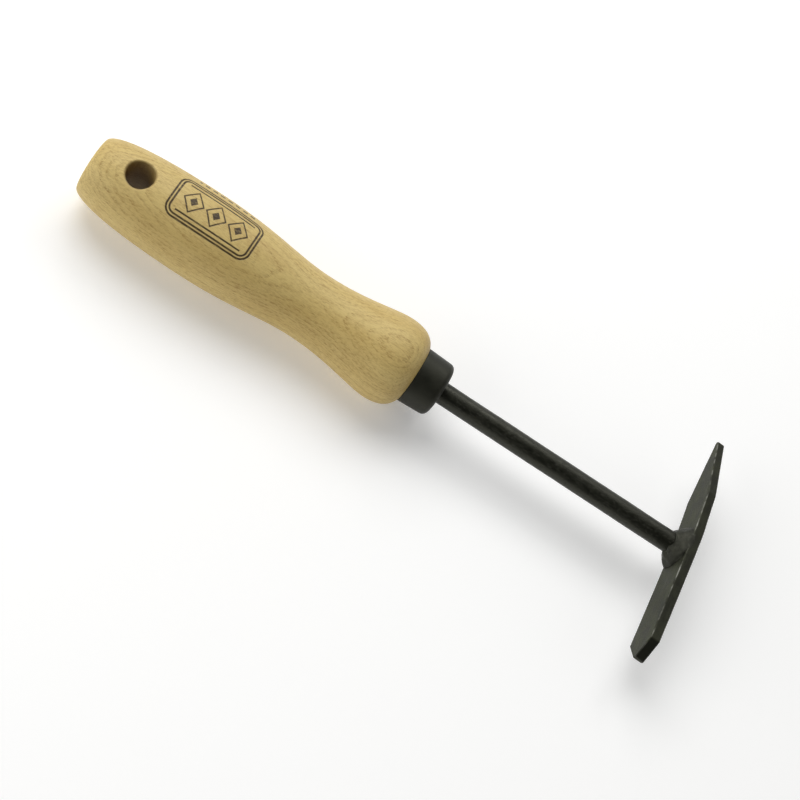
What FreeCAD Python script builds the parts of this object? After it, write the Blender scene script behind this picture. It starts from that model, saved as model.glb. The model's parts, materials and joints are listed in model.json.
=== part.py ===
import FreeCAD, Part

import math
import os

# A short one-handed hammer with a crosswise double-ended head: a turned ash handle, a black steel
# ferrule, a round steel stem with its tang inside the handle, and a flat pointed bar that a fillet
# weld holds across the stem's end. Nothing on it moves.
#
# Frame, in mm: the origin is on the tool's centre line, in the middle of the hang hole. +X runs along
# the tool from the butt to the head, +Y to the head's long pick, and +Z is square to both, up.

# Handle, turned in ash. Places along it are measured from the butt.
HANDLE_LENGTH = 129.6        # butt to the shoulder under the ferrule
BUTT_CORNER_RADIUS = 1.6
BUTT_CORNER_END_RADIUS = 10.5  # half width of the handle where the rounded corner runs out
BUTT_FLARE_DEG = 40.0        # slope of the outline where the corner runs out
GRIP_FROM_BUTT = 43.0
GRIP_RADIUS = 15.5
WAIST_FROM_BUTT = 87.1
WAIST_RADIUS = 12.3
SWELL_FROM_BUTT = 119.2
SWELL_RADIUS = 15.9
SHOULDER_SLOPE_DEG = 66.0    # how steeply the swell comes down to the ferrule

# How far the outline stays stiff on each side of those places, as shares of the run to the next one.
FLARE_PULL = 0.14
GRIP_PULLS = (0.43, 0.50)
WAIST_PULLS = (0.29, 0.48)
SWELL_PULLS = (0.20, 0.70)
SHOULDER_PULL = 0.25

# Hang hole, drilled across the handle. It leans from +Z towards -Y, because the handle sits a little
# turned on its tang.
HOLE_FROM_BUTT = 16.7
HOLE_RADIUS = 5.0
HOLE_LEAN_DEG = 10.4
HOLE_RIM_RADIUS = 0.9

# Ferrule, a drawn steel cap over the handle's tenon.
FERRULE_LENGTH = 11.1
FERRULE_REAR_RADIUS = 10.5
FERRULE_FRONT_RADIUS = 10.1
FERRULE_EDGE_RADIUS = 2.2
FERRULE_WALL = 1.2
GLUE_GAP = 0.05              # all round, between pieces that are glued or driven together

# Stem, a round rod. Its tang end is pointed, so that it centres itself in the handle's bore.
STEM_RADIUS = 4.0
TANG_LENGTH = 72.0
TANG_POINT_LENGTH = 6.0
TANG_POINT_RADIUS = 1.5
STEM_REACH = 111.8           # from the handle's shoulder to the near face of the head bar

# Head bar, flat steel. The long arm thins a little towards its tip, and the weld has drawn both arms
# towards the handle. The bar also leans, with its +Z edge away from the handle.
BAR_WIDTH = 13.2
BAR_THICKNESS = 3.9
BAR_LEAN_DEG = 4.4
BAR_FLAT_HALF = 6.0          # half length of the flat middle under the weld
LONG_PICK_REACH = 48.9       # from the stem's axis to the long pick's tip
LONG_PICK_TAPER = 25.7       # how much of that is tapered in width
LONG_PICK_TIP_THICKNESS = 3.1
LONG_ARM_BEND_DEG = 2.6
BLUNT_PICK_REACH = 47.2
BLUNT_PICK_TAPER = 6.4
BLUNT_ARM_BEND_DEG = 0.5
PICK_TIP_WIDTH = 0.9
BAR_EDGE_RADIUS = 0.3

# Fillet weld, all round the stem on the bar's near face.
WELD_LEG_ON_STEM = 4.6
WELD_LEG_ON_BAR = 4.2
WELD_CROWN = 0.35            # how far the weld's face stands proud of a flat fillet
WELD_ROOT_GAP = 0.02         # between the weld's inside and the stem

X_AXIS = FreeCAD.Vector(1, 0, 0)
BUTT_X = -HOLE_FROM_BUTT
SHOULDER_X = BUTT_X + HANDLE_LENGTH
BAR_X = SHOULDER_X + STEM_REACH
TENON_RADIUS = FERRULE_FRONT_RADIUS - FERRULE_WALL - GLUE_GAP
TENON_LENGTH = FERRULE_LENGTH - FERRULE_WALL - GLUE_GAP
TANG_BORE_CLEARANCE = 1.0    # past the tang's point


def vec(x, y, z=0.0):
    return FreeCAD.Vector(x, y, z)


def line(start, end):
    return Part.LineSegment(start, end).toShape()


def bezier(*poles):
    curve = Part.BezierCurve()
    curve.setPoles(list(poles))
    return curve.toShape()


def turned(edges):
    """A solid turned about the X axis, from the edges of its half section in the XY plane."""
    wire = Part.Wire(edges)
    return Part.Face(wire).revolve(vec(0, 0, 0), X_AXIS, 360)


def handle_outline():
    """The outside of the handle from the butt's flat end to the shoulder, as edges, and its ends."""
    flare = math.radians(BUTT_FLARE_DEG)
    slope = math.radians(SHOULDER_SLOPE_DEG)
    corner_centre_y = BUTT_CORNER_END_RADIUS - BUTT_CORNER_RADIUS * math.cos(flare)
    corner_centre_x = BUTT_X + BUTT_CORNER_RADIUS
    middle = math.radians(180 - (90 - BUTT_FLARE_DEG) / 2)
    corner_start = vec(BUTT_X, corner_centre_y)
    corner_middle = vec(corner_centre_x + BUTT_CORNER_RADIUS * math.cos(middle),
                        corner_centre_y + BUTT_CORNER_RADIUS * math.sin(middle))
    corner_end = vec(corner_centre_x - BUTT_CORNER_RADIUS * math.sin(flare), BUTT_CORNER_END_RADIUS)
    grip = vec(BUTT_X + GRIP_FROM_BUTT, GRIP_RADIUS)
    waist = vec(BUTT_X + WAIST_FROM_BUTT, WAIST_RADIUS)
    swell = vec(BUTT_X + SWELL_FROM_BUTT, SWELL_RADIUS)
    shoulder = vec(SHOULDER_X, FERRULE_REAR_RADIUS)

    grip_run = grip.x - corner_end.x
    waist_run = waist.x - grip.x
    swell_run = swell.x - waist.x
    shoulder_run = shoulder.x - swell.x
    flare_pull = vec(math.cos(flare), math.sin(flare)) * (FLARE_PULL * grip_run)
    shoulder_pull = vec(-math.cos(slope), math.sin(slope)) * (SHOULDER_PULL * shoulder_run)
    edges = [
        Part.Arc(corner_start, corner_middle, corner_end).toShape(),
        bezier(corner_end, corner_end + flare_pull, grip - X_AXIS * (GRIP_PULLS[0] * grip_run), grip),
        bezier(grip, grip + X_AXIS * (GRIP_PULLS[1] * waist_run),
               waist - X_AXIS * (WAIST_PULLS[0] * waist_run), waist),
        bezier(waist, waist + X_AXIS * (WAIST_PULLS[1] * swell_run),
               swell - X_AXIS * (SWELL_PULLS[0] * swell_run), swell),
        bezier(swell, swell + X_AXIS * (SWELL_PULLS[1] * shoulder_run), shoulder + shoulder_pull, shoulder),
    ]
    return edges, corner_start, shoulder


def hang_hole_axis():
    lean = math.radians(HOLE_LEAN_DEG)
    return vec(0, -math.sin(lean), math.cos(lean))


def handle():
    """Ash handle with its tenon, the bore for the tang, and the hang hole with rounded rims."""
    outline, butt_edge, shoulder = handle_outline()
    tenon_foot = vec(SHOULDER_X, TENON_RADIUS)
    tenon_end = vec(SHOULDER_X + TENON_LENGTH, TENON_RADIUS)
    end_centre = vec(tenon_end.x, 0)
    butt_centre = vec(BUTT_X, 0)
    body = turned(outline + [
        line(shoulder, tenon_foot),
        line(tenon_foot, tenon_end),
        line(tenon_end, end_centre),
        line(end_centre, butt_centre),
        line(butt_centre, butt_edge),
    ])

    bore_start = SHOULDER_X - TANG_LENGTH - TANG_BORE_CLEARANCE
    bore = Part.makeCylinder(STEM_RADIUS + GLUE_GAP, tenon_end.x - bore_start, vec(bore_start, 0), X_AXIS)
    axis = hang_hole_axis()
    reach = 2 * GRIP_RADIUS
    drill = Part.makeCylinder(HOLE_RADIUS, 2 * reach, axis * -reach, axis)
    drilled = body.cut(bore).cut(drill)

    rims = [edge for edge in drilled.Edges if is_hang_hole_rim(edge)]
    return drilled.makeFillet(HOLE_RIM_RADIUS, rims)


def is_hang_hole_rim(edge):
    """True where every point of a drilled edge is on the hang hole's wall and on the outside."""
    points = edge.discretize(9)
    on_wall = all(abs(math.hypot(p.x, across_hole(p)) - HOLE_RADIUS) < 0.01 for p in points)
    straight = abs(along_hole(points[0]) - along_hole(points[-1])) > GRIP_RADIUS
    return on_wall and not straight


def along_hole(point):
    return point.dot(hang_hole_axis())


def across_hole(point):
    return point.dot(X_AXIS.cross(hang_hole_axis()))


def ferrule():
    """Steel cap: a slightly tapered skirt over the tenon, and a rounded front that the stem leaves by."""
    front_x = SHOULDER_X + FERRULE_LENGTH
    taper_end = vec(front_x - FERRULE_EDGE_RADIUS, FERRULE_FRONT_RADIUS)
    edge_turn = FERRULE_EDGE_RADIUS * (1 - math.sqrt(0.5))
    edge_middle = vec(front_x - edge_turn, FERRULE_FRONT_RADIUS - edge_turn)
    edge_end = vec(front_x, FERRULE_FRONT_RADIUS - FERRULE_EDGE_RADIUS)
    rear = vec(SHOULDER_X, FERRULE_REAR_RADIUS)
    hole_radius = STEM_RADIUS + GLUE_GAP
    inside_radius = TENON_RADIUS + GLUE_GAP
    front_hole = vec(front_x, hole_radius)
    back_hole = vec(front_x - FERRULE_WALL, hole_radius)
    inside_corner = vec(front_x - FERRULE_WALL, inside_radius)
    rear_inside = vec(SHOULDER_X, inside_radius)
    return turned([
        line(rear, taper_end),
        Part.Arc(taper_end, edge_middle, edge_end).toShape(),
        line(edge_end, front_hole),
        line(front_hole, back_hole),
        line(back_hole, inside_corner),
        line(inside_corner, rear_inside),
        line(rear_inside, rear),
    ])


def stem():
    """Round rod from the tang's point, inside the handle, to the head bar."""
    point_x = SHOULDER_X - TANG_LENGTH
    past_bar_x = BAR_X + BAR_THICKNESS
    point_centre = vec(point_x, 0)
    point_edge = vec(point_x, TANG_POINT_RADIUS)
    full_edge = vec(point_x + TANG_POINT_LENGTH, STEM_RADIUS)
    head_edge = vec(past_bar_x, STEM_RADIUS)
    head_centre = vec(past_bar_x, 0)
    rod = turned([
        line(point_centre, point_edge),
        line(point_edge, full_edge),
        line(full_edge, head_edge),
        line(head_edge, head_centre),
        line(head_centre, point_centre),
    ])
    return rod.cut(behind_bar_face())


def polygon(corners):
    return Part.makePolygon(corners + corners[:1])


def leaned(shape):
    """The shape turned about the Y axis, where the stem meets the bar, by the lean of the bar."""
    turned_shape = shape.copy()
    turned_shape.rotate(vec(BAR_X, 0), vec(0, 1), BAR_LEAN_DEG)
    return turned_shape


def near_face_x(y):
    """Where the bar's near face is along X before the bar is leaned: flat, then bent to the handle."""
    bend = LONG_ARM_BEND_DEG if y > 0 else BLUNT_ARM_BEND_DEG
    return BAR_X - max(0, abs(y) - BAR_FLAT_HALF) * math.tan(math.radians(bend))


def near_face_line():
    return [vec(near_face_x(y), y) for y in
            (-BLUNT_PICK_REACH, -BAR_FLAT_HALF, BAR_FLAT_HALF, LONG_PICK_REACH)]


def behind_bar_face():
    """Everything near the head that is on the far side of the bar's near face."""
    far_x = BAR_X + 4 * BAR_THICKNESS
    low = vec(0, 0, -BAR_WIDTH)
    corners = near_face_line() + [vec(far_x, LONG_PICK_REACH), vec(far_x, -BLUNT_PICK_REACH)]
    return leaned(Part.Face(polygon([p + low for p in corners])).extrude(low * -2))


def head_bar():
    """Flat bar across the stem: the shape seen along the stem, cut to the shape seen along Z."""
    half_width = BAR_WIDTH / 2
    half_tip = PICK_TIP_WIDTH / 2
    long_start = LONG_PICK_REACH - LONG_PICK_TAPER
    blunt_start = BLUNT_PICK_REACH - BLUNT_PICK_TAPER
    above = [(LONG_PICK_REACH, half_tip), (long_start, half_width),
             (-blunt_start, half_width), (-BLUNT_PICK_REACH, half_tip)]
    below = [(y, -z) for y, z in reversed(above)]
    near_x = near_face_x(LONG_PICK_REACH)
    plan = Part.Face(polygon([vec(near_x, y, z) for y, z in above + below]))
    widths = plan.extrude(X_AXIS * (BAR_X + BAR_THICKNESS - near_x))

    tip_x = near_x + LONG_PICK_TIP_THICKNESS
    far_side = [vec(tip_x, LONG_PICK_REACH)]
    for y in (BAR_FLAT_HALF, -BAR_FLAT_HALF, -BLUNT_PICK_REACH):
        far_side.append(vec(near_face_x(y) + BAR_THICKNESS, y))
    low = vec(0, 0, -half_width)
    side = Part.Face(polygon([p + low for p in near_face_line() + far_side])).extrude(low * -2)
    bar = leaned(widths.common(side).removeSplitter())
    return bar.makeFillet(BAR_EDGE_RADIUS, bar.Edges)


def weld_bead():
    """Ring of weld in the corner between the stem and the bar, crowned, and no wider than the bar."""
    inside = STEM_RADIUS + WELD_ROOT_GAP
    past_bar_x = BAR_X + BAR_THICKNESS
    on_bar = vec(BAR_X, STEM_RADIUS + WELD_LEG_ON_BAR)
    on_stem = vec(BAR_X - WELD_LEG_ON_STEM, inside)
    face = on_bar - on_stem
    outward = vec(-face.y, face.x).normalize()
    crown = (on_stem + on_bar) * 0.5 + outward * WELD_CROWN
    inside_end = vec(past_bar_x, inside)
    outside_end = vec(past_bar_x, on_bar.y)
    ring = turned([
        line(inside_end, on_stem),
        Part.Arc(on_stem, crown, on_bar).toShape(),
        line(on_bar, outside_end),
        line(outside_end, inside_end),
    ])
    reach = STEM_RADIUS + 2 * WELD_LEG_ON_BAR
    bar_edges = Part.makeBox(4 * reach, 2 * reach, BAR_WIDTH, vec(BAR_X - 2 * reach, -reach, -BAR_WIDTH / 2))
    return ring.cut(behind_bar_face()).common(leaned(bar_edges))


NODES = {
    "handle": handle,
    "ferrule": ferrule,
    "stem": stem,
    "head_bar": head_bar,
    "weld_bead": weld_bead,
}

os.makedirs("parts", exist_ok=True)
for name, make in NODES.items():
    shape = make()
    solid = shape.Solids[0] if len(shape.Solids) == 1 else shape
    print(name, "valid", solid.isValid(), "solids", len(shape.Solids), "volume", round(solid.Volume, 1))
    solid.exportStep("parts/" + name + ".step")
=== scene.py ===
import json
import math

import bmesh
import bpy
import numpy as np
from mathutils import Matrix, Vector, noise


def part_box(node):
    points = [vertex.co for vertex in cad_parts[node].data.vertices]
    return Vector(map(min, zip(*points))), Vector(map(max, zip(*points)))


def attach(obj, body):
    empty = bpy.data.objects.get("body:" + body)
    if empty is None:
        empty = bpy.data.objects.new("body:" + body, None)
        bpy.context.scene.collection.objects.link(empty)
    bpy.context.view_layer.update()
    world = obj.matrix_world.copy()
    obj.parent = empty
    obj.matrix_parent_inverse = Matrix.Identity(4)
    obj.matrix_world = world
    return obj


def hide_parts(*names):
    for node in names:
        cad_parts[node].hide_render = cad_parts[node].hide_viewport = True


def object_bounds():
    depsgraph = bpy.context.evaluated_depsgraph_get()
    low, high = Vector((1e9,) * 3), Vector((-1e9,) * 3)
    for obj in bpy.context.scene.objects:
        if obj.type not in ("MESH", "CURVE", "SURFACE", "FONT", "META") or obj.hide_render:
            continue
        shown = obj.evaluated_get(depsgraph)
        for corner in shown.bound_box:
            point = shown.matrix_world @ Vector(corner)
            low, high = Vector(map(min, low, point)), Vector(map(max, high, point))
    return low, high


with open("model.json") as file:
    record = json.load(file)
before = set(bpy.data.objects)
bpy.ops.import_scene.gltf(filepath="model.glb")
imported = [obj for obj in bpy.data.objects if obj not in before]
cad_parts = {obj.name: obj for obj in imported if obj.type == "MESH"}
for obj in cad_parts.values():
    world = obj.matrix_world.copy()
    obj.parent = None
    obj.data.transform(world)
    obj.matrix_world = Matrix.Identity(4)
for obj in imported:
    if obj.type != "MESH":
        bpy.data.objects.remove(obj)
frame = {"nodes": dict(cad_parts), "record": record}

# A short chipping hammer: turned ash handle, black ferrule, round black stem and a welded bar head.
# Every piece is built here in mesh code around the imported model, in metres and in its frame:
# +X runs from the butt to the head, +Y to the long pick, +Z up.

cad_low, cad_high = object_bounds()
MM = 0.001
GLUE_GAP = 0.05 * MM
NEAR = 0.01 * MM         # closer than this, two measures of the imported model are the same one

# ---------------------------------------------------------------- places, read from the frame

hang_hole = frame["record"]["mounts"][0]
HOLE_RADIUS = hang_hole["dims"]["r_mm"] * MM
HOLE_AXIS = Vector(hang_hole["axis"]).normalized()
HOLE_ACROSS = HOLE_AXIS.cross(Vector((1, 0, 0))).normalized()

ferrule_low, ferrule_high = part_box("ferrule")
stem_low, stem_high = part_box("stem")
bar_low, bar_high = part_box("head_bar")
STEM_RADIUS = stem_high.y
SHOULDER_X = ferrule_low.x

BAR_LEAN = math.radians(4.4)   # the bar's +Z edge leans away from the handle
BAR_X = stem_high.x - STEM_RADIUS * math.tan(BAR_LEAN)   # where the stem's axis meets the bar


def seam(node):
    """The outline of a turned CAD node: its vertices in the half plane z = 0, y > 0, as (x, radius)."""
    points = {(round(v.co.x, 7), round(v.co.y, 7)) for v in frame["nodes"][node].data.vertices
              if abs(v.co.z) < 1e-6 and v.co.y > 0}
    return sorted(points)


# ---------------------------------------------------------------- curves and meshes

def smooth_run(points, spacing):
    """Points along a smooth curve through the given points, about the given spacing apart."""
    given = np.array(points)
    padded = np.vstack([2 * given[0] - given[1], given, 2 * given[-1] - given[-2]])
    run = []
    for before, start, end, after in zip(padded, padded[1:], padded[2:], padded[3:]):
        length = np.linalg.norm(end - start)
        start_pull = (end - before) * length / (length + np.linalg.norm(start - before))
        end_pull = (after - start) * length / (length + np.linalg.norm(after - end))
        steps = max(1, round(length / spacing))
        for step in range(steps):
            t = step / steps
            run.append((2 * t**3 - 3 * t**2 + 1) * start + (t**3 - 2 * t**2 + t) * start_pull
                       + (3 * t**2 - 2 * t**3) * end + (t**3 - t**2) * end_pull)
    run.append(given[-1])
    return [tuple(p) for p in run]


def straight_run(start, end, spacing):
    """Points from start to end, both included, about the given spacing apart."""
    start, end = np.array(start), np.array(end)
    steps = max(1, round(np.linalg.norm(end - start) / spacing))
    return [tuple(start + (end - start) * k / steps) for k in range(steps + 1)]


def join_runs(*runs):
    """One run from several, without the points that neighbours share."""
    joined = []
    for run in runs:
        for point in run:
            if not joined or math.dist(joined[-1], point) > 1e-7:
                joined.append(point)
    return joined


def ring_point(x, radius, turn, first=Vector((0, 1, 0)), second=Vector((0, 0, 1))):
    return Vector((x, 0, 0)) + (first * math.cos(turn) + second * math.sin(turn)) * radius


def lathe(mesh, outline, around, closed=False, **directions):
    """Adds the surface that an outline of (x, radius) sweeps about the X axis. Returns its rings."""
    rings = []
    for x, radius in outline:
        if radius < 1e-7:
            rings.append([mesh.verts.new((x, 0, 0))] * around)
        else:
            rings.append([mesh.verts.new(ring_point(x, radius, 2 * math.pi * k / around, **directions))
                          for k in range(around)])
    pairs = list(zip(rings, rings[1:])) + ([(rings[-1], rings[0])] if closed else [])
    for near, far in pairs:
        for k in range(around):
            add_face(mesh, near[k], near[(k + 1) % around], far[(k + 1) % around], far[k])
    return rings


def add_face(mesh, *corners):
    distinct = list(dict.fromkeys(corners))
    if len(distinct) > 2:
        mesh.faces.new(distinct)


def finish_piece(name, mesh, material, node):
    """Turns a bmesh into a piece that replaces a CAD node and rides on the tool's one body."""
    bmesh.ops.recalc_face_normals(mesh, faces=mesh.faces)
    data = bpy.data.meshes.new(name)
    mesh.to_mesh(data)
    mesh.free()
    data.shade_smooth()
    data.materials.append(material)
    piece = bpy.data.objects.new(name, data)
    bpy.context.scene.collection.objects.link(piece)
    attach(piece, "root")
    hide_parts(node)
    return piece


def rough(point, per_mm, octaves=3, seed=0.0):
    """Smooth fractal noise of about -1 to 1 at a point in metres, with features 1/per_mm mm long."""
    where = point * (per_mm / MM) + Vector((seed, seed * 0.7, -seed))
    return noise.fractal(where, 1.0, 2.0, octaves)


# ---------------------------------------------------------------- material graphs

class Graph:
    """A material's node tree around one Principled shader, with a short call for each kind of node."""

    def __init__(self, name):
        self.material = bpy.data.materials.new(name)
        self.material.use_nodes = True
        self.tree = self.material.node_tree
        self.shader = self.tree.nodes["Principled BSDF"]
        objects = self.node("ShaderNodeTexCoord").outputs["Object"]
        self.mm = self.vector("SCALE", objects, scale=1 / MM)

    def node(self, kind, **settings):
        made = self.tree.nodes.new(kind)
        for key, value in settings.items():
            setattr(made, key, value)
        return made

    def put(self, socket, value):
        if isinstance(value, bpy.types.NodeSocket):
            self.tree.links.new(value, socket)
        else:
            socket.default_value = value

    def math(self, operation, *values, clamp=False):
        made = self.node("ShaderNodeMath", operation=operation, use_clamp=clamp)
        for socket, value in zip(made.inputs, values):
            self.put(socket, value)
        return made.outputs[0]

    def vector(self, operation, *values, scale=None):
        made = self.node("ShaderNodeVectorMath", operation=operation)
        for socket, value in zip(made.inputs, values):
            self.put(socket, value)
        if scale is not None:
            self.put(made.inputs["Scale"], scale)
        return made.outputs["Value" if operation in ("LENGTH", "DOT_PRODUCT") else "Vector"]

    def split(self, vector):
        made = self.node("ShaderNodeSeparateXYZ")
        self.put(made.inputs[0], vector)
        return made.outputs[0], made.outputs[1], made.outputs[2]

    def join(self, x, y, z):
        made = self.node("ShaderNodeCombineXYZ")
        for socket, value in zip(made.inputs, (x, y, z)):
            self.put(socket, value)
        return made.outputs[0]

    def noise(self, per_mm, detail=3.0, roughness=0.5, where=None, colour=False):
        """Noise with features of about 1/per_mm mm. per_mm may differ along X, Y and Z."""
        made = self.node("ShaderNodeTexNoise")
        scale = per_mm if isinstance(per_mm, tuple) else (per_mm,) * 3
        self.put(made.inputs["Vector"], self.vector("MULTIPLY", where or self.mm, scale))
        made.inputs["Scale"].default_value = 1.0
        made.inputs["Detail"].default_value = detail
        made.inputs["Roughness"].default_value = roughness
        return made.outputs["Color" if colour else "Fac"]

    def ramp(self, value, *stops):
        """A number that changes along the stops (place, level)."""
        made = self.node("ShaderNodeValToRGB")
        self.put(made.inputs[0], value)
        elements = made.color_ramp.elements
        while len(elements) < len(stops):
            elements.new(0.5)
        for element, (place, level) in zip(elements, stops):
            element.position = place
            element.color = (level, level, level, 1)
        return made.outputs[0]

    def between(self, value, low, high, to_low=0.0, to_high=1.0):
        """Eases from to_low, where the value is low, to to_high, where it is high."""
        made = self.node("ShaderNodeMapRange", interpolation_type="SMOOTHSTEP")
        for key, number in zip(("Value", "From Min", "From Max", "To Min", "To Max"),
                               (value, low, high, to_low, to_high)):
            self.put(made.inputs[key], number)
        return made.outputs[0]

    def mix(self, amount, first, second, blend="MIX"):
        """Mixes two colours, each a socket or (r, g, b)."""
        made = self.node("ShaderNodeMix", data_type="RGBA", blend_type=blend)
        self.put(made.inputs[0], amount)
        for socket, value in ((made.inputs[6], first), (made.inputs[7], second)):
            self.put(socket, (*value, 1) if isinstance(value, tuple) else value)
        return made.outputs[2]

    def attribute(self, name):
        """A number that add_amounts stored on the piece."""
        return self.node("ShaderNodeAttribute", attribute_name=name).outputs["Fac"]

    def bump(self, height, depth_mm):
        made = self.node("ShaderNodeBump")
        made.inputs["Strength"].default_value = 1.0
        made.inputs["Distance"].default_value = depth_mm * MM
        self.put(made.inputs["Height"], height)
        return made.outputs[0]

    def surface(self, colour, roughness, normal, metallic=0.0, specular=0.5):
        self.put(self.shader.inputs["Base Color"], colour)
        self.put(self.shader.inputs["Roughness"], roughness)
        self.put(self.shader.inputs["Normal"], normal)
        self.put(self.shader.inputs["Metallic"], metallic)
        self.shader.inputs["Specular IOR Level"].default_value = specular
        return self.material

    def tint_reflections(self, colour):
        self.shader.inputs["Specular Tint"].default_value = (*colour, 1)


# ---------------------------------------------------------------- ash

PITH_DIRECTION = Vector((0, -0.36, 0.93))   # the growth rings are square to this
PITH_DISTANCE_MM = 70.0
PITH_SLOPE = 0.012          # how much further from the pith the wood gets for each mm along the handle
RING_WIDTH_MM = 0.95
RING_UNEVEN = 2.2           # in rings
ASH_PALE = (0.66, 0.503, 0.192)
ASH_DARK = (0.41, 0.262, 0.084)
ASH_PORE = (0.20, 0.125, 0.042)
BURNT = (0.035, 0.020, 0.008)
# the hang hole's colour: its darker drilled wood together with painted shade in the recess
DRILLED_WALL_AND_SHADE = (0.16, 0.095, 0.038)

MARK_X_MM = 28.1
MARK_TURN_DEG = 6.0       # from the hole's axis towards +Y
MARK_HALF_LENGTH_MM = 16.0
MARK_HALF_WIDTH_MM = 8.4
MARK_CORNER_MM = 3.6
MARK_LINE_MM = 0.62
MARK_INNER_FRAME_MM = -1.15    # the second frame line, inside the first
DIAMOND_PITCH_MM = 8.6
DIAMOND_HALF_LENGTH_MM = 3.7
DIAMOND_HALF_WIDTH_MM = 4.3
DIAMOND_LINE = 0.17            # as a part of the diamond's half size
DIAMONDS = 3
DIAMONDS_BEFORE = 40           # before the row's start, so every place along it is positive
SIDE_LINE_AT_MM = 5.7          # the straight lines either side of the diamonds
SIDE_LINE_MM = 0.55
SIDE_LINE_SHORTER_MM = 3.4
DASHES_AT_MM = 11.2            # the row of dashes beside the frame
DASHES_HALF_LENGTH_MM = 11.0
DASH_LINE_MM = 1.0
DASH_HALF_PITCH_MM = 1.5
DASH_HALF_LENGTH_MM = 0.9
DASH_START_MM = 200.0          # before the row's start, so every place along it is positive
GRIP_RADIUS_MM = 15.4


def growth_rings(g):
    """How open the wood is at each point, from 0 in dense late wood to 1 in open early wood."""
    wander = g.vector("SUBTRACT", g.noise((0.010, 0.045, 0.045), 2.0, colour=True), (0.5, 0.5, 0.5))
    ripple = g.vector("SUBTRACT", g.noise((0.05, 0.25, 0.25), 2.0, colour=True), (0.5, 0.5, 0.5))
    place = g.vector("ADD", g.mm, g.vector("SCALE", wander, scale=7.0))
    place = g.vector("ADD", place, g.vector("SCALE", ripple, scale=0.9))
    pith = PITH_DIRECTION * -PITH_DISTANCE_MM
    along, y, z = g.split(place)
    out = g.vector("LENGTH", g.join(0.0, g.math("SUBTRACT", y, pith.y), g.math("SUBTRACT", z, pith.z)))
    out = g.math("ADD", out, g.math("MULTIPLY", along, PITH_SLOPE))
    count = g.math("DIVIDE", out, RING_WIDTH_MM)
    uneven = g.noise(0.45, 1.0, where=g.join(count, 0.0, 0.0))
    count = g.math("ADD", count, g.math("MULTIPLY", uneven, RING_UNEVEN))
    part = g.math("FRACT", count)
    early = g.ramp(part, (0.0, 0.9), (0.10, 1.0), (0.40, 0.40), (0.80, 0.10), (0.93, 0.20), (1.0, 0.9))
    which = g.node("ShaderNodeTexWhiteNoise", noise_dimensions="1D")
    g.put(which.inputs["W"], g.math("FLOOR", count))
    strength = g.between(which.outputs["Value"], 0.0, 1.0, 0.35, 1.0)
    return g.math("MULTIPLY", early, strength)


def burnt_mark(g):
    """A plain burnt frame round three diamonds and two lines, and a row of dashes beside the frame.

    It is unrolled onto the grip ahead of the hang hole: u runs along the handle and v round it.
    """
    x, _, _ = g.split(g.mm)
    turn = math.radians(MARK_TURN_DEG)
    facing = HOLE_AXIS * math.cos(turn) + HOLE_ACROSS * math.sin(turn)
    beside = HOLE_ACROSS * math.cos(turn) - HOLE_AXIS * math.sin(turn)
    height = g.vector("DOT_PRODUCT", g.mm, tuple(facing))
    side = g.vector("DOT_PRODUCT", g.mm, tuple(beside))
    u = g.math("SUBTRACT", x, MARK_X_MM)
    v = g.math("MULTIPLY", g.math("ARCTAN2", side, height), GRIP_RADIUS_MM)

    qx = g.math("SUBTRACT", g.math("ABSOLUTE", u), MARK_HALF_LENGTH_MM - MARK_CORNER_MM)
    qy = g.math("SUBTRACT", g.math("ABSOLUTE", v), MARK_HALF_WIDTH_MM - MARK_CORNER_MM)
    outside = g.vector("LENGTH", g.join(g.math("MAXIMUM", qx, 0.0), g.math("MAXIMUM", qy, 0.0), 0.0))
    inside = g.math("MINIMUM", g.math("MAXIMUM", qx, qy), 0.0)
    edge = g.math("SUBTRACT", g.math("ADD", outside, inside), MARK_CORNER_MM)

    def stroke(distance, at, width=MARK_LINE_MM):
        off = g.math("ABSOLUTE", g.math("SUBTRACT", distance, at))
        return g.between(off, width * 0.35, width * 0.75, 1.0, 0.0)

    def within(half_length):
        return g.math("LESS_THAN", g.math("ABSOLUTE", u), half_length)

    # How far a point is from the middle of the nearest diamond: 1 on its outline, less inside.
    along = g.math("PINGPONG", g.math("ADD", u, DIAMOND_PITCH_MM * DIAMONDS_BEFORE), DIAMOND_PITCH_MM / 2)
    diamond = g.math("ADD", g.math("DIVIDE", g.math("ABSOLUTE", along), DIAMOND_HALF_LENGTH_MM),
                     g.math("DIVIDE", g.math("ABSOLUTE", v), DIAMOND_HALF_WIDTH_MM))
    diamonds = g.math("MAXIMUM", stroke(diamond, 1.0, DIAMOND_LINE), g.between(diamond, 0.38, 0.46, 1.0, 0.0))
    diamonds = g.math("MULTIPLY", diamonds, within(DIAMONDS / 2 * DIAMOND_PITCH_MM))
    lines = g.math("MULTIPLY", stroke(g.math("ABSOLUTE", v), SIDE_LINE_AT_MM, SIDE_LINE_MM),
                   within(MARK_HALF_LENGTH_MM - SIDE_LINE_SHORTER_MM))
    along = g.math("PINGPONG", g.math("ADD", u, DASH_START_MM), DASH_HALF_PITCH_MM)
    dashes = g.math("MULTIPLY", stroke(v, DASHES_AT_MM, DASH_LINE_MM),
                    g.math("LESS_THAN", along, DASH_HALF_LENGTH_MM))
    dashes = g.math("MULTIPLY", dashes, within(DASHES_HALF_LENGTH_MM))
    art = g.math("MAXIMUM", diamonds, g.math("MAXIMUM", lines, dashes))
    art = g.math("MAXIMUM", art, g.math("MAXIMUM", stroke(edge, 0.0), stroke(edge, MARK_INNER_FRAME_MM)))
    upper = g.math("GREATER_THAN", height, 0.0)
    patchy = g.between(g.noise((0.5, 1.6, 1.6), 4.0), 0.28, 0.52, 0.72, 1.0)
    return g.math("MULTIPLY", g.math("MULTIPLY", art, upper), patchy)


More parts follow.
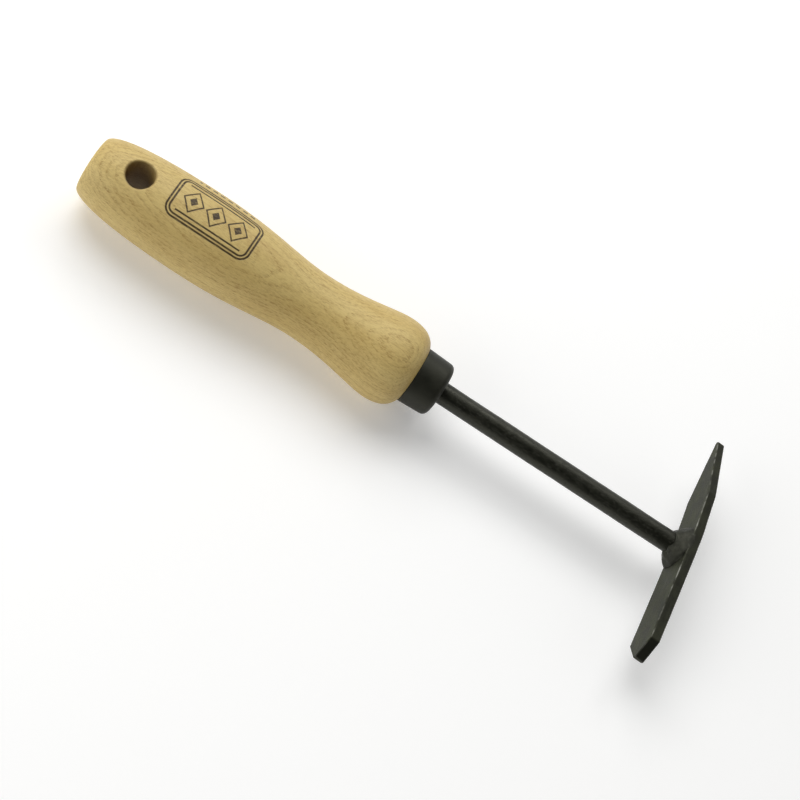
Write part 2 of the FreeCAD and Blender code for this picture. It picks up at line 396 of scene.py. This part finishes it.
def in_the_hole(g):
    """1 on the drilled wall of the hang hole, easing to 0 over its rim: where the hole's painted shade and
    darker drilled wood go.
    """
    along, _, _ = g.split(g.mm)
    across = g.vector("DOT_PRODUCT", g.mm, tuple(HOLE_ACROSS))
    out = g.vector("LENGTH", g.join(along, across, 0.0))
    return g.between(out, HOLE_RADIUS / MM + 0.05, HOLE_RADIUS / MM + 0.9, 1.0, 0.0)


def ash():
    """Pale ash: growth rings, streaks and fibres along the handle, open pores, the burnt mark, and in the
    hang hole darker drilled wood with painted shade.
    """
    g = Graph("ash")
    early = growth_rings(g)
    streak = g.noise((0.07, 0.6, 0.6), 5.0, 0.65)
    fibre = g.noise((0.55, 2.6, 2.6), 4.0, 0.75)
    blotch = g.noise((0.020, 0.09, 0.09), 3.0)
    dots = g.noise((0.55, 2.9, 2.9), 3.0, 0.6)
    pores = g.math("MULTIPLY", g.between(dots, 0.54, 0.66), g.between(early, 0.10, 0.55, 0.25, 1.0))

    darkness = g.math("MULTIPLY", early, g.between(fibre, 0.35, 0.65, 0.12, 0.68))
    darkness = g.math("ADD", darkness, g.between(streak, 0.30, 0.72, -0.12, 0.20))
    darkness = g.math("ADD", darkness, g.between(fibre, 0.30, 0.70, -0.26, 0.34), clamp=True)
    colour = g.mix(darkness, ASH_PALE, ASH_DARK)
    colour = g.mix(g.between(blotch, 0.38, 0.66), colour,
                   g.mix(1.0, colour, (0.90, 0.86, 0.78), "MULTIPLY"))
    colour = g.mix(g.math("MULTIPLY", pores, 0.24), colour, ASH_PORE)
    # darkens the hang hole: painted shade in the recess along with the drilled wall's darker wood
    colour = g.mix(g.math("MULTIPLY", in_the_hole(g), 0.55), colour, DRILLED_WALL_AND_SHADE)
    mark = burnt_mark(g)
    colour = g.mix(g.math("MULTIPLY", mark, 0.96), colour, BURNT)

    height = g.math("SUBTRACT", g.math("MULTIPLY", fibre, 0.6), g.math("MULTIPLY", pores, 0.8))
    height = g.math("SUBTRACT", height, g.math("MULTIPLY", early, 0.25))
    height = g.math("SUBTRACT", height, g.math("MULTIPLY", mark, 1.6))
    roughness = g.math("ADD", g.between(fibre, 0.2, 0.8, 0.44, 0.58), g.math("MULTIPLY", pores, 0.2))
    return g.surface(colour, roughness, g.bump(height, 0.05), specular=0.35)


# ---------------------------------------------------------------- black parts

OLIVE = (1.0, 1.0, 0.80)    # the tint of what the black finishes reflect


def ferrule_black():
    """Black finish on drawn steel: even, a little gritty, rubbed along the rear and front edges."""
    g = Graph("ferrule_black")
    g.tint_reflections(OLIVE)
    cloud = g.noise(0.22, 4.0)
    grit = g.noise(3.2, 3.0, 0.6)
    drawn = g.noise((0.12, 2.2, 2.2), 3.0)
    colour = g.mix(g.between(cloud, 0.35, 0.7), (0.0045, 0.0048, 0.0030), (0.0085, 0.0088, 0.0058))
    colour = g.mix(g.math("MULTIPLY", g.attribute("wear"), 0.5), colour, (0.09, 0.088, 0.08))
    roughness = g.math("ADD", g.between(cloud, 0.3, 0.7, 0.47, 0.57), g.between(grit, 0.3, 0.7, -0.03, 0.04))
    height = g.math("ADD", g.math("MULTIPLY", grit, 0.5), g.math("MULTIPLY", drawn, 0.5))
    return g.surface(colour, roughness, g.bump(height, 0.02), specular=0.42)


def stem_black():
    """Rolled bar with its black scale: smooth skin, small pits and scuffs that run along it."""
    g = Graph("stem_black")
    g.tint_reflections(OLIVE)
    scale = g.noise((0.35, 0.8, 0.8), 5.0, 0.62)
    pits = g.between(g.noise((1.1, 1.7, 1.7), 3.0, 0.6), 0.56, 0.68)
    scuffs = g.between(g.noise((0.07, 2.6, 2.6), 4.0, 0.65), 0.60, 0.74)
    colour = g.mix(g.between(scale, 0.35, 0.68), (0.0026, 0.0028, 0.0016), (0.0082, 0.0086, 0.0054))
    colour = g.mix(g.math("MULTIPLY", scuffs, 0.45), colour, (0.075, 0.075, 0.068))
    colour = g.mix(g.math("MULTIPLY", pits, 0.6), colour, (0.005, 0.005, 0.0045))
    roughness = g.between(scale, 0.3, 0.7, 0.34, 0.48)
    roughness = g.math("ADD", roughness, g.math("MULTIPLY", pits, 0.18))
    height = g.math("SUBTRACT", scale, g.math("MULTIPLY", pits, 0.5))
    return g.surface(colour, roughness, g.bump(height, 0.10), specular=0.50)


def bar_steel():
    """Flat bar: a thin black finish with the grey of the metal through it, bare on worn edges, with painted
    shade on its narrow sides, darkest on the blunt end's facets.
    """
    g = Graph("bar_steel")
    g.tint_reflections(OLIVE)
    cloud = g.noise((0.20, 0.13, 0.26), 6.0, 0.66)
    drag = g.noise((1.8, 0.10, 1.8), 4.0, 0.6)
    grain = g.noise(2.4, 4.0, 0.65)
    wear = g.attribute("wear")
    narrow = g.attribute("narrow_side_shade")
    colour = g.mix(g.between(cloud, 0.34, 0.66), (0.006, 0.0066, 0.0036), (0.035, 0.0382, 0.0210))
    colour = g.mix(g.math("MULTIPLY", g.between(drag, 0.52, 0.72), 0.45), colour, (0.058, 0.060, 0.045))
    colour = g.mix(g.math("MULTIPLY", g.between(grain, 0.55, 0.72), 0.5), colour, (0.011, 0.011, 0.009))
    # painted shade: the narrow sides are darkened, fully on the blunt end's facets and half elsewhere
    colour = g.mix(g.math("MULTIPLY", narrow, 0.92), colour, (0.0028, 0.0031, 0.0016))
    bare = g.math("MULTIPLY", wear, g.between(grain, 0.30, 0.60, 0.45, 1.0), clamp=True)
    colour = g.mix(bare, colour, (0.30, 0.30, 0.27))
    roughness = g.math("ADD", g.between(cloud, 0.3, 0.7, 0.50, 0.62), g.between(grain, 0.3, 0.7, -0.05, 0.06))
    roughness = g.math("SUBTRACT", roughness, g.math("MULTIPLY", bare, 0.16))
    height = g.math("ADD", g.math("MULTIPLY", drag, 0.6), g.math("MULTIPLY", grain, 0.7))
    return g.surface(colour, roughness, g.bump(height, 0.05), g.math("MULTIPLY", bare, 0.7), specular=0.30)


def weld_metal():
    """Blackened weld: gritty and cloudy, lighter in a painted highlight ring near the stem and where the
    metal shows along the bar's edge and in scattered spots.
    """
    g = Graph("weld_metal")
    g.tint_reflections(OLIVE)
    cloud = g.noise(0.5, 4.0, 0.6)
    grain = g.noise(3.0, 4.0, 0.65)
    colour = g.mix(g.between(cloud, 0.35, 0.68), (0.0040, 0.0043, 0.0030), (0.0115, 0.0122, 0.0085))
    # lighter where the wear amounts are high: a painted highlight ring near the stem, plus real wear along
    # the bar's edge and in spots
    colour = g.mix(g.math("MULTIPLY", g.attribute("wear"), 0.5), colour, (0.075, 0.077, 0.062))
    roughness = g.between(grain, 0.3, 0.7, 0.42, 0.58)
    return g.surface(colour, roughness, g.bump(grain, 0.06), specular=0.38)


def add_amounts(piece, name, amounts):
    """Stores a number from 0 to 1 at each vertex for the material to read."""
    stored = piece.data.attributes.new(name, "FLOAT", "POINT")
    stored.data.foreach_set("value", [min(1.0, max(0.0, amount)) for amount in amounts])


# ---------------------------------------------------------------- handle

HANDLE_AROUND = 288
HANDLE_STEP = 0.5 * MM
RIM_EASE = 1.0 * MM
WINDOW_HALF_LENGTH = 8.0 * MM
WINDOW_HALF_COLUMNS = 26
WINDOW_STEPS = 9
RIM_STEPS = 8
WALL_STEPS = 18
BORE_PAST_TANG = 1.0 * MM
BORE_STEP = 4 * MM
WITHIN = 0.9985             # keeps the smooth outline inside the model it follows


def handle_outline():
    """Runs of (x, radius): the turned outside from the butt's centre to the shoulder, and the inside."""
    points = seam("handle")
    tenon_radius = min(r for x, r in points)
    outside = [p for p in points if p[1] > tenon_radius + GLUE_GAP or p[0] < SHOULDER_X - MM]
    outside = [(x, r * WITHIN) for x, r in smooth_run(sorted(outside), HANDLE_STEP)]
    butt = straight_run((outside[0][0], 0.0), outside[0], HANDLE_STEP)
    tenon_end = max(x for x, r in points)
    bore_radius = stem_high.y + GLUE_GAP
    bore_end = stem_low.x - BORE_PAST_TANG
    inside = join_runs(
        straight_run(outside[-1], (SHOULDER_X, tenon_radius), HANDLE_STEP),
        straight_run((SHOULDER_X, tenon_radius), (tenon_end, tenon_radius), MM),
        straight_run((tenon_end, tenon_radius), (tenon_end, bore_radius), MM),
        straight_run((tenon_end, bore_radius), (bore_end, bore_radius), BORE_STEP),
        [(bore_end, 0.0)])
    return join_runs(butt, outside), inside


def window_loop(rings, rows, column, side):
    """The vertices round a window in the rings, from one corner and once round."""
    first, last = rows
    wide = WINDOW_HALF_COLUMNS
    path = [(row, -wide) for row in range(first, last)]
    path += [(last, k) for k in range(-wide, wide)]
    path += [(row, wide) for row in range(last, first, -1)]
    path += [(first, k) for k in range(wide, -wide, -1)]
    return [rings[row][(column + side * k) % HANDLE_AROUND] for row, k in path]


def drill_window(mesh, rings, rows, radius_at, side):
    """Cuts a window in the rings and fills it in to the hole's eased rim. Returns the last loop."""
    column = 0 if side > 0 else HANDLE_AROUND // 2
    first, last = rows
    gone = set()
    for row in range(first + 1, last):
        for k in range(1 - WINDOW_HALF_COLUMNS, WINDOW_HALF_COLUMNS):
            gone.add(rings[row][(column + k) % HANDLE_AROUND])
    border = window_loop(rings, rows, column, side)
    bmesh.ops.delete(mesh, geom=list(gone), context="VERTS")

    def on_surface(x, across, sunk):
        height = math.sqrt(radius_at(x)**2 - across**2) - sunk
        return Vector((x, 0, 0)) + HOLE_ACROSS * across + HOLE_AXIS * (height * side)

    plan = [(v.co.x, v.co.dot(HOLE_ACROSS)) for v in border]
    angles = [math.atan2(across, x) for x, across in plan]
    loops = [border]
    for step in range(1, WINDOW_STEPS + 1):
        t = step / WINDOW_STEPS
        reach = HOLE_RADIUS + RIM_EASE
        loops.append([mesh.verts.new(on_surface(x + (reach * math.cos(a) - x) * t,
                                                across + (reach * math.sin(a) - across) * t, 0.0))
                      for (x, across), a in zip(plan, angles)])
    for step in range(1, RIM_STEPS + 1):
        t = math.pi / 2 * step / RIM_STEPS
        reach = HOLE_RADIUS + RIM_EASE * (1 - math.sin(t))
        sunk = RIM_EASE * (1 - math.cos(t))
        loops.append([mesh.verts.new(on_surface(reach * math.cos(a), reach * math.sin(a), sunk))
                      for a in angles])
    bridge(mesh, loops)
    return loops[-1]


def bridge(mesh, loops):
    """Adds the band of faces between each loop of vertices and the next."""
    for near, far in zip(loops, loops[1:]):
        for k in range(len(near)):
            add_face(mesh, near[k - 1], near[k], far[k], far[k - 1])


def make_handle():
    mesh = bmesh.new()
    outside, inside = handle_outline()
    rings = lathe(mesh, join_runs(outside, inside), HANDLE_AROUND, first=HOLE_AXIS, second=HOLE_ACROSS)
    xs = [x for x, r in outside[1:]]
    radii = [r for x, r in outside[1:]]
    start = max(k for k, (x, r) in enumerate(outside) if x < -WINDOW_HALF_LENGTH)
    end = min(k for k, (x, r) in enumerate(outside) if x > WINDOW_HALF_LENGTH)

    def radius_at(x):
        return float(np.interp(x, xs, radii))

    upper = drill_window(mesh, rings, (start, end), radius_at, 1)
    lower = drill_window(mesh, rings, (start, end), radius_at, -1)
    wall = [upper]
    for step in range(1, WALL_STEPS):
        t = step / WALL_STEPS
        wall.append([mesh.verts.new(a.co.lerp(b.co, t)) for a, b in zip(upper, lower)])
    bridge(mesh, wall + [lower])
    finish_piece("ash_handle", mesh, ash(), "handle")


# ---------------------------------------------------------------- ferrule and stem

FERRULE_AROUND = 192
FERRULE_EDGE = 0.35 * MM
FERRULE_EDGE_STEPS = 5
FERRULE_STEP = 0.4 * MM
FERRULE_BEND_STEP = 0.2 * MM
FERRULE_BEND_REACH = 2 * MM     # the rounded front edge is no further than this from the cap's inside
FERRULE_WAVE = 0.03 * MM
STEM_AROUND = 112
STEM_STEP = 0.35 * MM
STEM_HIDDEN = 2 * MM            # how far the finely divided part goes on inside the ferrule
STEM_HIDDEN_STEP = 2 * MM
STEM_DENTS_MM = 0.045
STEM_SKIN_MM = 0.014


def rounded(corner, before, after, radius):
    """Points that round an outline's corner by about the radius."""
    corner, before, after = (Vector(p) for p in (corner, before, after))
    start = corner + (before - corner).normalized() * radius
    end = corner + (after - corner).normalized() * radius
    return [tuple(start.lerp(corner, t).lerp(corner.lerp(end, t), t)) for t in
            (k / FERRULE_EDGE_STEPS for k in range(FERRULE_EDGE_STEPS + 1))]


def make_ferrule():
    points = seam("ferrule")
    hole_radius = min(r for x, r in points)
    rear_x, front_x = ferrule_low.x, ferrule_high.x
    inner_radius = min(r for x, r in points if x < rear_x + NEAR)
    rear_radius = max(r for x, r in points if x < rear_x + NEAR)
    inner_front_x = max(x for x, r in points if abs(r - inner_radius) < NEAR)
    bend = [p for p in points if p[0] > inner_front_x - FERRULE_BEND_REACH
            and p[1] > inner_radius - FERRULE_BEND_REACH
            and abs(p[1] - inner_radius) > NEAR and p[1] > hole_radius + MM]
    bend.sort(key=lambda p: p[0] - p[1])
    edge = FERRULE_EDGE
    outline = join_runs(
        rounded((rear_x, rear_radius), (rear_x, inner_radius), bend[0], edge),
        straight_run((rear_x + edge, rear_radius), bend[0], FERRULE_STEP)[1:],
        smooth_run(bend, FERRULE_BEND_STEP),
        straight_run(bend[-1], (front_x, hole_radius + edge), FERRULE_STEP),
        rounded((front_x, hole_radius), bend[-1], (inner_front_x, hole_radius), edge),
        [(inner_front_x, hole_radius)],
        straight_run((inner_front_x, hole_radius), (inner_front_x, inner_radius), MM),
        straight_run((inner_front_x, inner_radius), (rear_x, inner_radius), MM))
    mesh = bmesh.new()
    lathe(mesh, outline, FERRULE_AROUND, closed=True)
    worn = []
    for vertex in mesh.verts:
        p = vertex.co.copy()
        out = Vector((0, p.y, p.z)).normalized()
        vertex.co += out * (rough(p, 0.11, 2, 3.0) * FERRULE_WAVE)
        at_rear = max(0.0, 1 - (p.x - rear_x) / (0.5 * MM))
        at_bend = max(0.0, 1 - abs(p.x - front_x + 0.6 * MM) / (0.9 * MM))
        worn.append((at_rear + 0.5 * at_bend) * (0.35 + 0.9 * rough(p, 0.9, 3, 11.0)))
    piece = finish_piece("ferrule_cap", mesh, ferrule_black(), "ferrule")
    add_amounts(piece, "wear", worn)


def make_stem():
    points = seam("stem")
    radius = max(r for x, r in points)
    tang = [p for p in points if p[0] < SHOULDER_X]
    seen_from = (ferrule_high.x - STEM_HIDDEN, radius)
    outline = join_runs(
        [(tang[0][0], 0.0)], tang,
        straight_run(tang[-1], seen_from, STEM_HIDDEN_STEP),
        straight_run(seen_from, (BAR_X, radius), STEM_STEP),
        [(BAR_X, 0.0)])
    mesh = bmesh.new()
    lathe(mesh, outline, STEM_AROUND)
    for vertex in mesh.verts:
        p = vertex.co
        out = Vector((0, p.y, p.z))
        if p.x > ferrule_high.x and out.length > radius / 2:
            dents = rough(Vector((p.x * 0.5, p.y, p.z)), 0.16, 2, 7.0) * STEM_DENTS_MM
            skin = rough(Vector((p.x * 0.6, p.y, p.z)), 0.9, 3, 5.0) * STEM_SKIN_MM
            vertex.co += out.normalized() * ((dents + skin) * MM)
    finish_piece("stem_rod", mesh, stem_black(), "stem")


# ---------------------------------------------------------------- head bar

BAR_THICK = 3.9 * MM
BAR_FLAT_HALF = 6.0 * MM
BAR_HALF_WIDTH = 6.6 * MM
TIP_HALF_WIDTH = 0.75 * MM
LONG_TAPER = 25.7 * MM
LONG_TIP_THICK = 3.1 * MM
LONG_BEND = math.radians(2.6)
BLUNT_TAPER = 6.4 * MM
BLUNT_BEND = math.radians(0.5)
BAR_STEP = 0.4 * MM
BAR_EDGE = 0.45 * MM
BAR_FACE_POINTS = 34
BAR_SIDE_POINTS = 10
BAR_CORNER_POINTS = 5
BEND_EASE = 2 * MM      # how gently the bar bends where a pick begins
FACE_WAVE_MM = 0.10
FACE_GRAIN_MM = 0.022
FACE_SUNK_MM = 0.05     # keeps the uneven faces inside the model they follow
SIDE_NICKS_MM = 0.06


def near_face_x(y):
    """Where the bar's near face is along X before the bar is leaned."""
    bend = LONG_BEND if y > 0 else BLUNT_BEND
    past = abs(y) - BAR_FLAT_HALF
    return BAR_X - (math.sqrt(past * past + BEND_EASE**2) + past) / 2 * math.tan(bend)


def bar_half_width(y):
    return float(np.interp(y, [bar_low.y, bar_low.y + BLUNT_TAPER, bar_high.y - LONG_TAPER, bar_high.y],
                           [TIP_HALF_WIDTH, BAR_HALF_WIDTH, BAR_HALF_WIDTH, TIP_HALF_WIDTH]))


def bar_thickness(y):
    return float(np.interp(y, [BAR_FLAT_HALF, bar_high.y], [BAR_THICK, LONG_TIP_THICK]))


def leaned(point):
    """A point of the bar, turned about the Y axis where the stem meets it."""
    return Matrix.Rotation(BAR_LEAN, 3, "Y") @ (point - Vector((BAR_X, 0, 0))) + Vector((BAR_X, 0, 0))


def bar_section(half, depth):
    """Points round the bar's section as (x from the near face, z), with eased corners.

    The long sides of the section are the bar's two faces and the short ones its narrow sides.
    """
    ease = min(BAR_EDGE, half * 0.6, depth * 0.4)
    corners = []
    for x, z, turn in ((ease, half - ease, 90), (depth - ease, half - ease, 0),
                       (depth - ease, ease - half, -90), (ease, ease - half, -180)):
        corners.append([(x + ease * math.cos(a), z + ease * math.sin(a)) for a in
                        (math.radians(turn + 90 - 90 * k / BAR_CORNER_POINTS)
                         for k in range(BAR_CORNER_POINTS + 1))])
    section = []
    for k, corner in enumerate(corners):
        after = corners[(k + 1) % 4][0]
        count = BAR_FACE_POINTS if k % 2 else BAR_SIDE_POINTS
        section += corner[:-1] + [tuple(Vector(corner[-1]).lerp(Vector(after), j / count))
                                  for j in range(count)]
    return section


def bar_stations():
    """Places along Y for the bar's sections, with one where each taper or bend begins."""
    stops = [bar_low.y, bar_low.y + BLUNT_TAPER, -BAR_FLAT_HALF, BAR_FLAT_HALF,
             bar_high.y - LONG_TAPER, bar_high.y]
    stations = []
    for start, end in zip(stops, stops[1:]):
        stations += [y for y, _ in straight_run((start, 0), (end, 0), BAR_STEP)]
    return sorted(set(round(y, 7) for y in stations))


def make_head_bar():
    mesh = bmesh.new()
    loops = []
    shape = {}
    for y in bar_stations():
        half, depth = bar_half_width(y), bar_thickness(y)
        loop = []
        for x, z in bar_section(half, depth):
            vertex = mesh.verts.new((near_face_x(y) + x, y, z))
            to_side = half - abs(z)
            to_face = min(x, depth - x)
            shape[vertex] = (to_side, to_face, 1 if x > depth / 2 else -1)
            loop.append(vertex)
        loops.append(loop)
    bridge(mesh, loops)
    mesh.faces.new(loops[0])
    mesh.faces.new(loops[-1])

    worn = []
    narrow = []
    for vertex in mesh.verts:
        to_side, to_face, face = shape[vertex]
        p = vertex.co.copy()
        wave = rough(p, 0.07, 2, 21.0) * FACE_WAVE_MM + rough(p, 0.6, 3, 23.0) * FACE_GRAIN_MM
        if to_face < 0.3 * BAR_THICK:
            vertex.co.x += face * (wave * 0.5 - FACE_SUNK_MM) * MM
        if to_side < 0.6 * MM:
            nick = rough(Vector((p.x * 0.4, p.y, p.z)), 0.35, 3, 31.0) * SIDE_NICKS_MM
            vertex.co.z += math.copysign(nick * MM, p.z)
        edge = 1.15 - max(to_side, to_face) / (0.38 * MM)
        worn.append(max(0.0, edge) * (0.40 + 1.4 * rough(p, 0.30, 3, 41.0)))
        # amounts of painted shade for the narrow sides: full on the blunt end's facets, half elsewhere
        at_blunt_end = 1.0 if p.y < bar_low.y + BLUNT_TAPER else 0.5
        narrow.append(at_blunt_end * (1 - to_side / (0.25 * MM)) if to_face > 0.2 * MM else 0.0)
        vertex.co = leaned(vertex.co)
    piece = finish_piece("double_pick_bar", mesh, bar_steel(), "head_bar")
    add_amounts(piece, "wear", worn)
    add_amounts(piece, "narrow_side_shade", narrow)


# ---------------------------------------------------------------- weld

WELD_AROUND = 240
WELD_STEPS = 34
WELD_ON_STEM = 4.5 * MM
WELD_ON_BAR_MM = 7.4    # from the stem's axis
WELD_CROWN = 2.3        # 2 is a flat face between the toes, less is hollow, more is full
WELD_INTO_STEM = 0.4 * MM
WELD_INTO_BAR = 0.5 * MM
WELD_UNDERCUT = 1.2 * MM    # how far inside its toe the loop sunk in the bar is
LAP = 0.25 * MM         # how far the weld stands proud of the bar's edges
LAP_ROUND = 1.2 * MM
LAP_DOWN = 0.55         # how steeply the weld runs down over the bar's edges


def weld_reach(around):
    """How far the weld's toe is from the stem's axis, in a direction across it."""
    y, z = around.y, around.z
    towards_long = max(0.0, y * 0.85 + z * 0.5)**2
    bump = max(0.0, -y * 0.76 - z * 0.65)**6
    reach = WELD_ON_BAR_MM + 1.3 * towards_long + 0.9 * bump
    return (reach + 0.45 * noise.noise(Vector((y * 2.2, z * 2.2, 5.0)))) * MM


def make_weld():
    """Loops round the stem, from one sunk in it, down the weld's lumpy face, to one sunk in the bar."""
    mesh = bmesh.new()
    loops = []
    worn = []
    for step in range(WELD_STEPS + 3):
        loop = []
        t = min(1.0, max(0.0, (step - 1) / WELD_STEPS))
        middle = math.sin(math.pi * t)
        for k in range(WELD_AROUND):
            turn = 2 * math.pi * k / WELD_AROUND
            around = Vector((0, math.cos(turn), math.sin(turn)))
            reach = weld_reach(around)
            climb = WELD_ON_STEM * (1 + 0.20 * noise.noise(around * 1.7 + Vector((0, 0, 9.0))))
            bend = t * math.pi / 2
            rise = climb * (1 - math.sin(bend)**WELD_CROWN)
            out = STEM_RADIUS + (reach - STEM_RADIUS) * (1 - math.cos(bend)**WELD_CROWN)
            ripple = 0.10 * noise.noise(Vector((t * 9.0, around.y * 3.0, around.z * 3.0))) * middle
            lump = 0.38 * noise.noise(around * 2.3 + Vector((t * 3.0, 0, 3.0))) * middle
            push = (0.15 * middle + ripple + lump) * MM
            if step == 0:
                point = Vector((BAR_X + WELD_INTO_BAR, 0, 0)) + around * (STEM_RADIUS - WELD_INTO_STEM)
            elif step == WELD_STEPS + 2:
                point = Vector((BAR_X + WELD_INTO_BAR, 0, 0)) + around * (reach - WELD_UNDERCUT)
            else:
                point = Vector((BAR_X - rise - push * 0.7, 0, 0)) + around * (out + push * 0.7)
            over = abs(point.z) - BAR_HALF_WIDTH + LAP_ROUND
            if over > 0:
                lap = LAP_ROUND + LAP
                point.z = math.copysign(BAR_HALF_WIDTH - LAP_ROUND + lap * math.tanh(over / lap), point.z)
                point.x += LAP_DOWN * over * math.tanh(over / lap)
            if step == 1:
                point = Vector((point.x, 0, 0)) + around * (STEM_RADIUS - 0.06 * MM)
            # painted highlight: a lighter ring on the weld's crest near the stem; the edge and spot terms
            # below are wear
            crest_highlight = max(0.0, 1 - abs(t - 0.10) / 0.10) * (0.3 + 1.3 * rough(point, 0.5, 2, 51.0))
            at_edge = max(0.0, 1 - abs(abs(point.z) - BAR_HALF_WIDTH) / (0.10 * MM)) if t > 0.3 else 0.0
            worn.append(crest_highlight + at_edge * (0.6 + rough(point, 0.5, 2, 53.0))
                        + 0.25 * max(0.0, rough(point, 0.8, 3, 57.0)))
            loop.append(mesh.verts.new(leaned(point)))
        loops.append(loop)
    bridge(mesh, loops)
    bridge(mesh, [loops[-1], loops[0]])
    piece = finish_piece("fillet_weld", mesh, weld_metal(), "weld_bead")
    add_amounts(piece, "wear", worn)


# ---------------------------------------------------------------- stage, light and camera

CAMERA_AZIMUTH = math.radians(9.92)
CAMERA_ELEVATION = math.radians(55.4)
CAMERA_ROLL = math.radians(-41.35)
CAMERA_DISTANCE = 577.6 * MM
CAMERA_LENS_MM = 76.5
AIM_AHEAD = 0.4 * MM
AIM_ACROSS = -12.0 * MM
FLOOR_SIZE = 6.0
FLOOR_GLOW = 0.20
DARK_SIDE = Vector((-0.1, -0.56, 0.82))   # the direction in which the studio is dark
WALL_LIGHT = 0.48
WALL_DARK = 0.04
LIGHT_DISTANCE = 1.4


def make_camera():
    """A camera aimed close to the handle's shoulder, rolled so the tool runs down to the right."""
    forward = Vector((math.sin(CAMERA_AZIMUTH) * math.cos(CAMERA_ELEVATION),
                      math.cos(CAMERA_AZIMUTH) * math.cos(CAMERA_ELEVATION), -math.sin(CAMERA_ELEVATION)))
    level_right = forward.cross(Vector((0, 0, 1))).normalized()
    level_up = level_right.cross(forward)
    up = level_up * math.cos(CAMERA_ROLL) + level_right * math.sin(CAMERA_ROLL)
    right = forward.cross(up)
    aim = Vector((SHOULDER_X + AIM_AHEAD, AIM_ACROSS, 0))
    data = bpy.data.cameras.new("camera")
    data.lens = CAMERA_LENS_MM
    data.sensor_width = 36.0
    data.clip_start = 0.01
    camera = bpy.data.objects.new("camera", data)
    axes = Matrix((right, up, -forward)).transposed().to_4x4()
    camera.matrix_world = Matrix.Translation(aim - forward * CAMERA_DISTANCE) @ axes
    bpy.context.scene.collection.objects.link(camera)
    bpy.context.scene.camera = camera


def area_light(name, direction, size, power):
    """A square soft box that faces the middle of the tool from a direction."""
    data = bpy.data.lights.new(name, "AREA")
    data.size = size
    data.energy = power
    light = bpy.data.objects.new(name, data)
    direction = direction.normalized()
    middle = (cad_low + cad_high) / 2
    light.location = middle + direction * LIGHT_DISTANCE
    light.rotation_euler = direction.to_track_quat("Z", "Y").to_euler()
    bpy.context.scene.collection.objects.link(light)


def make_floor():
    data = bpy.data.meshes.new("floor")
    half = FLOOR_SIZE / 2
    data.from_pydata([(-half, -half, 0), (half, -half, 0), (half, half, 0), (-half, half, 0)], [],
                     [(0, 1, 2, 3)])
    floor = bpy.data.objects.new("floor", data)
    floor.location.z = cad_low.z
    bpy.context.scene.collection.objects.link(floor)
    material = bpy.data.materials.new("floor_pale")
    material.use_nodes = True
    shader = material.node_tree.nodes["Principled BSDF"]
    shader.inputs["Base Color"].default_value = (0.93, 0.93, 0.92, 1)
    shader.inputs["Roughness"].default_value = 0.9
    shader.inputs["Emission Color"].default_value = (1, 1, 1, 1)
    shader.inputs["Emission Strength"].default_value = FLOOR_GLOW
    data.materials.append(material)


def make_world():
    """A white studio that darkens smoothly towards its dark side."""
    world = bpy.data.worlds.new("studio")
    bpy.context.scene.world = world
    world.use_nodes = True
    nodes, links = world.node_tree.nodes, world.node_tree.links
    facing = nodes.new("ShaderNodeVectorMath")
    facing.operation = "DOT_PRODUCT"
    facing.inputs[1].default_value = DARK_SIDE.normalized()
    level = nodes.new("ShaderNodeMapRange")
    level.interpolation_type = "SMOOTHSTEP"
    for key, number in (("From Min", 0.25), ("From Max", 0.85),
                        ("To Min", WALL_LIGHT), ("To Max", WALL_DARK)):
        level.inputs[key].default_value = number
    background = nodes["Background"]
    background.inputs["Color"].default_value = (1.0, 1.0, 1.0, 1)
    links.new(nodes.new("ShaderNodeTexCoord").outputs["Generated"], facing.inputs[0])
    links.new(facing.outputs["Value"], level.inputs["Value"])
    links.new(level.outputs[0], background.inputs["Strength"])
    bpy.context.scene.view_settings.view_transform = "Standard"


make_handle()
make_ferrule()
make_stem()
make_head_bar()
make_weld()

make_camera()
make_floor()
make_world()
area_light("key", Vector((-0.45, 0.42, 0.80)), 1.2, 13.5)
area_light("fill", Vector((-0.80, -0.60, 0.30)), 1.2, 9.0)
area_light("strip", Vector((0.10, 0.70, 0.70)), 0.5, 2.6)
